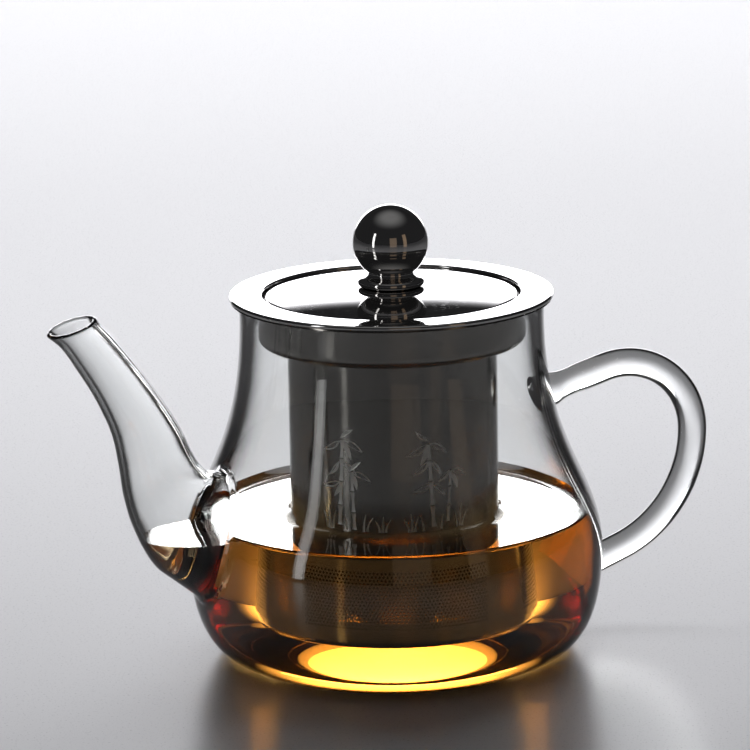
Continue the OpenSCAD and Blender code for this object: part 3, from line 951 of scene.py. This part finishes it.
BLADES = (
    (-19.5, 40.2, -1.4, 4.6), (-18.6, 40.0, -0.4, 6.2), (-17.6, 40.2, 0.8, 5.0),
    (-13.4, 40.2, -0.8, 3.8), (-8.6, 40.0, 0.6, 4.8), (-7.6, 40.2, 1.6, 3.8),
    (-4.2, 40.0, -1.2, 3.2), (-3.4, 40.0, 0.2, 4.4), (-2.6, 40.1, 1.4, 3.4),
    (3.6, 40.0, -1.4, 3.6), (4.4, 40.0, -0.2, 5.0), (5.2, 40.1, 1.0, 4.0),
    (7.6, 40.0, -1.0, 4.4), (12.6, 40.2, 0.6, 4.0), (17.4, 40.0, -0.6, 4.8),
    (18.4, 40.2, 0.6, 6.0), (19.2, 40.0, 1.8, 4.2),
)


def camera_side():
    """The turn about Z of the side that faces the camera."""
    return bpy.context.scene.teapot_studio.turn - math.pi / 2


# ---------------------------------------------------------------- the lid


def polished_steel(steel):
    """Mirror-polished steel with faint lines from the polishing wheel."""
    return steel_material("polished steel", tuple(steel.polished), 0.035, (900.0, 900.0, 900.0),
                          0.0006 * MM, 0.6, 0.35)


class TEAPOT_OT_lid(bpy.types.Operator):
    """Make the lid's pressed shell and its turned knob"""

    bl_idname = "teapot.lid"
    bl_label = "Lid"

    def execute(self, context):
        """Makes the shell and the knob, and finishes the screw and washer."""
        steel = context.scene.teapot_steel
        material = polished_steel(steel)
        self.shell(steel, material)
        self.knob(material)
        self.screw(steel)
        return {"FINISHED"}

    def shell(self, steel, material):
        """The pressed shell: dome, groove, brim with a rolled edge, and the steam vent."""
        sheet, top = steel.sheet, SHELL_HIGH.z
        brim_r = SHELL_HIGH.x
        brim_z = top - 1.7 * MM
        plug_r = 35.5 * MM
        groove_z, groove_r = brim_z - 2.6 * MM, plug_r - sheet
        wide, roll = 0.5 * MM, 0.65 * MM
        edge = Vector((groove_r - 1.2 * MM, brim_z - 0.6 * MM))
        dome = [Vector((edge.x * i / 48, top - (top - edge.y) * (i / 48) ** 2.2))
                for i in range(4, 49)]
        path = [Vector((2.2 * MM, top))] + dome
        path += bezier(edge, edge + Vector((0.45, -0.12)) * MM,
                       Vector((groove_r - 0.6 * MM, groove_z + 0.9 * MM)),
                       Vector((groove_r - 0.6 * MM, groove_z + 0.2 * MM)), 8)
        path += arc((groove_r - 0.3 * MM, groove_z + 0.3 * MM), 0.3 * MM, -150, 0, 10)
        path += arc((groove_r + wide, brim_z - wide), wide, 180, 90, 10)
        path += [Vector((brim_r - roll - flat, brim_z)) for flat in (3 * MM, 1.0 * MM)]
        path += arc((brim_r - roll, brim_z - roll), roll, 90, -90, 14)
        path += [Vector((brim_r - 2 * roll, brim_z - 2 * roll))]
        bm = sheet_spun(path, -sheet * 0.96, 224)
        turn = math.radians(122)
        drill = bmesh.new()
        bmesh.ops.create_cone(drill, cap_ends=True, segments=40, radius1=1.1 * MM, radius2=1.1 * MM,
                              depth=12 * MM)
        bmesh.ops.translate(drill, verts=drill.verts,
                            vec=(19.5 * MM * math.cos(turn), 19.5 * MM * math.sin(turn), top))
        bm = combined(bm, [drill], "DIFFERENCE")
        dressed(bm, "lid_sheet", "lid", material, ("lid_shell",))

    def knob(self, material):
        """The turned foot and the hollow ball with its welded girth seam."""
        low, neck_z = FOOT_LOW.z, FOOT_HIGH.z
        foot_r, neck_r = FOOT_HIGH.x, 6.1 * MM
        round_r = 0.3 * (neck_z - low)
        bead = arc((foot_r - round_r, low + round_r), round_r, -90, 60, 18)
        slope = Vector((-math.sin(math.radians(60)), math.cos(math.radians(60))))
        flare = [bead[-1], bead[-1] + slope * 1.1 * MM,
                 Vector((neck_r, neck_z - 1.2 * MM)), Vector((neck_r, neck_z))]
        path = [Vector((2.2 * MM, low))] + bead
        path += bezier(*flare, 28) + [Vector((2.2 * MM, neck_z))]
        dressed(spun(path, 128, closed=True), "turned_foot", "lid", material,
                ("knob_foot",))
        radius = BALL_HIGH.x
        middle = BALL_HIGH.z - radius
        start = math.degrees(math.asin((neck_z - middle) / radius))
        seam, depth = -14.0, 0.05 * MM
        ball = []
        for i in range(121):
            turn = start + (90 - start) * i / 120
            sunk = depth * math.exp(-((turn - seam) / 1.1) ** 2)
            ball.append(arc((0, middle), radius - sunk, turn, turn, 1)[0])
        path = [Vector((2.0 * MM, neck_z))] + ball
        path[-1] = Vector((0, BALL_HIGH.z))
        path += [Vector((0, neck_z + 6 * MM)), Vector((2.0 * MM, neck_z + 6 * MM))]
        dressed(spun(path, 160, closed=True), "ball", "lid", material,
                ("knob_ball",))

    def screw(self, steel):
        """The CAD screw and washer get their turned finish."""
        material = steel_material("turned steel", tuple(steel.screw), 0.28, (2.0, 2.0, 5200.0),
                                  0.01 * MM, 0.3, 0.6)
        for node in ("knob_screw", "knob_washer"):
            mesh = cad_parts[node].data
            mesh.materials.clear()
            mesh.materials.append(material)


# ---------------------------------------------------------------- the studio


# The lamps: name, place, what it faces, width and height, watts, tint, and spread in degrees
OVERHEAD = "top_back"
CARDS = "left_strip", "front_card", "warm_card"
LAMPS = (
    ("top_back", (0.0, 0.55, 0.85), (0.0, -0.1, 0.0), (1.2, 0.3), 1.0, (1, 1, 1), 90),
    ("low_back", (0.0, 0.27, 0.112), (0.0, 0.05, 0.004), (0.17, 0.05), 0.04, (1, 1, 1), 60),
    ("low_halo", (0.0, 0.3, 0.13), (0.0, 0.05, 0.004), (0.42, 0.14), 0.15, (1, 1, 1), 60),
    ("left_strip", (-0.45, -0.34, 0.22), (0.0, 0.0, 0.1), (0.06, 0.4), 0.08, (1, 1, 1), 120),
    ("front_card", (0.12, -0.8, 0.22), (0.0, 0.0, 0.1), (0.3, 0.4), 0.025, (1, 0.72, 0.5), 120),
    ("warm_card", (0.44, -0.44, 0.22), (0.0, 0.0, 0.1), (0.12, 0.4), 0.015, (1, 0.7, 0.45), 120),
)
CAMERA_PLACE = Vector((-4.79, -1069.52, 333.86)) * MM
CAMERA_PITCH, CAMERA_ROLL = math.radians(13.52), math.radians(-1.04)
SENSOR = 36.0
# How far the bright wall reaches to each side and upwards, seen from the pot
GLOW_ACROSS, GLOW_UP = math.radians(27), math.radians(20.5)


class TEAPOT_OT_studio(bpy.types.Operator):
    """Lay the floor, hang the lights and set up the camera"""

    bl_idname = "teapot.studio"
    bl_label = "Studio"

    def execute(self, context):
        """Lays the stage and sets how deep the light is followed."""
        studio = context.scene.teapot_studio
        turn = Matrix.Rotation(studio.turn, 4, "Z")
        self.floor(studio)
        self.world(context.scene, studio)
        self.lights(turn)
        self.camera(context.scene, studio, turn)
        settings = context.scene.cycles
        settings.max_bounces, settings.transmission_bounces = 32, 28
        settings.glossy_bounces, settings.diffuse_bounces = 12, 4
        context.scene.view_settings.view_transform = "Standard"
        return {"FINISHED"}

    def floor(self, studio):
        """A plain pale floor with a satin sheen."""
        bm = bmesh.new()
        bmesh.ops.create_grid(bm, x_segments=2, y_segments=2, size=6)
        floor = as_object(bm, "floor")
        material, shader, principled, _ = new_material("pale floor")
        place = shader.add("ShaderNodeTexCoord").outputs["Object"]
        principled.inputs["Base Color"].default_value = (*studio.floor, 1)
        principled.inputs["IOR"].default_value = 1.4
        grain = shader.noise(place, 1500.0, 2.0)
        shader.feed(principled.inputs["Roughness"], shader.spread(grain, 0.3, 0.7, 0.27, 0.35))
        floor.data.materials.append(material)

    def world(self, scene, studio):
        """A dim room with one bright, soft-edged wall behind the pot."""
        world = bpy.data.worlds.new("studio")
        world.use_nodes = True
        world.node_tree.nodes.clear()
        shader = Shader(world.node_tree)
        direction = shader.add("ShaderNodeTexCoord").outputs["Generated"]
        turned = shader.add("ShaderNodeVectorRotate", {"rotation_type": "Z_AXIS"}, Vector=direction,
                            Angle=-studio.turn).outputs[0]
        parts = shader.add("ShaderNodeSeparateXYZ", Vector=turned).outputs
        height = shader.maths("ARCSINE", parts[2])
        side = shader.maths("ARCTAN2", parts[0], parts[1])
        across = shader.maths("DIVIDE", side, GLOW_ACROSS)
        upward = shader.maths("DIVIDE", height, GLOW_UP)
        off = shader.maths("SQRT", shader.maths("ADD", shader.maths("MULTIPLY", across, across),
                                                shader.maths("MULTIPLY", upward, upward)))
        wall = shader.spread(off, 0.8, 1.15, 1.0, 0.0)
        background = shader.add("ShaderNodeBackground",
                                Strength=shader.spread(wall, 0.0, 1.0, 1.0, studio.glow))
        overhead = shader.spread(height, math.radians(45), math.radians(80))
        room = shader.blend(overhead, tuple(studio.room), tuple(studio.ceiling))
        tone = shader.blend(wall, room, tuple(studio.backdrop))
        shader.feed(background.inputs["Color"], tone)
        shader.add("ShaderNodeOutputWorld", Surface=background.outputs[0])
        scene.world = world

    def lights(self, turn):
        """Hangs the lamps. Only the overhead one lights the floor; the cards show in the steel."""
        for name, place, aim, size, power, tint, spread in LAMPS:
            light = bpy.data.lights.new(name, "AREA")
            light.shape = "RECTANGLE"
            light.size, light.size_y = size
            light.energy, light.color, light.spread = power, tint, math.radians(spread)
            lamp = bpy.data.objects.new(name, light)
            bpy.context.scene.collection.objects.link(lamp)
            spot, target = turn @ Vector(place), turn @ Vector(aim)
            lamp.matrix_world = Matrix.Translation(spot) \
                @ (target - spot).to_track_quat("-Z", "Y").to_matrix().to_4x4()
            lamp.visible_camera = False
            lamp.visible_diffuse = name == OVERHEAD
            lamp.visible_glossy = name in CARDS

    def camera(self, scene, studio, turn):
        """The camera looks slightly down, from in front and a little to the spout's side."""
        lens = bpy.data.cameras.new("camera")
        lens.lens, lens.sensor_width, lens.clip_start = studio.lens, SENSOR, 0.01
        camera = bpy.data.objects.new("camera", lens)
        scene.collection.objects.link(camera)
        camera.matrix_world = turn @ Matrix.Translation(CAMERA_PLACE) \
            @ Matrix.Rotation(math.pi / 2 - CAMERA_PITCH, 4, "X") \
            @ Matrix.Rotation(CAMERA_ROLL, 4, "Z")
        scene.camera = camera


# ---------------------------------------------------------------- panel and registration


class TEAPOT_PT_panel(bpy.types.Panel):
    """Sidebar panel that lists the teapot's settings and operators"""

    bl_label = "Glass teapot"
    bl_idname = "TEAPOT_PT_panel"
    bl_space_type = "VIEW_3D"
    bl_region_type = "UI"
    bl_category = "Teapot"

    def draw(self, context):
        """Draws each group's settings with its operators below them."""
        for name, operators in STEPS:
            box = self.layout.box()
            settings = getattr(context.scene, name)
            for key in settings.__annotations__:
                box.prop(settings, key)
            for operator in operators:
                box.operator(operator.bl_idname)


STEPS = (
    ("teapot_studio", (TEAPOT_OT_studio,)),
    ("teapot_glass", (TEAPOT_OT_glass,)),
    ("teapot_tea", (TEAPOT_OT_tea,)),
    ("teapot_steel", (TEAPOT_OT_infuser, TEAPOT_OT_lid)),
)
GROUPS = {
    "teapot_studio": TEAPOT_PG_studio,
    "teapot_glass": TEAPOT_PG_glass,
    "teapot_tea": TEAPOT_PG_tea,
    "teapot_steel": TEAPOT_PG_steel,
}


def register():
    """Registers the settings, the operators and the panel."""
    for name, group in GROUPS.items():
        bpy.utils.register_class(group)
        setattr(bpy.types.Scene, name, bpy.props.PointerProperty(type=group))
    for _, operators in STEPS:
        for operator in operators:
            bpy.utils.register_class(operator)
    bpy.utils.register_class(TEAPOT_PT_panel)


def unregister():
    """Takes back what register did."""
    bpy.utils.unregister_class(TEAPOT_PT_panel)
    for _, operators in reversed(STEPS):
        for operator in reversed(operators):
            bpy.utils.unregister_class(operator)
    for name, group in reversed(GROUPS.items()):
        delattr(bpy.types.Scene, name)
        bpy.utils.unregister_class(group)


def main():
    """Makes every piece in order."""
    register()
    for _, operators in STEPS:
        for operator in operators:
            family, name = operator.bl_idname.split(".")
            getattr(getattr(bpy.ops, family), name)()


if __name__ == "__main__":
    main()
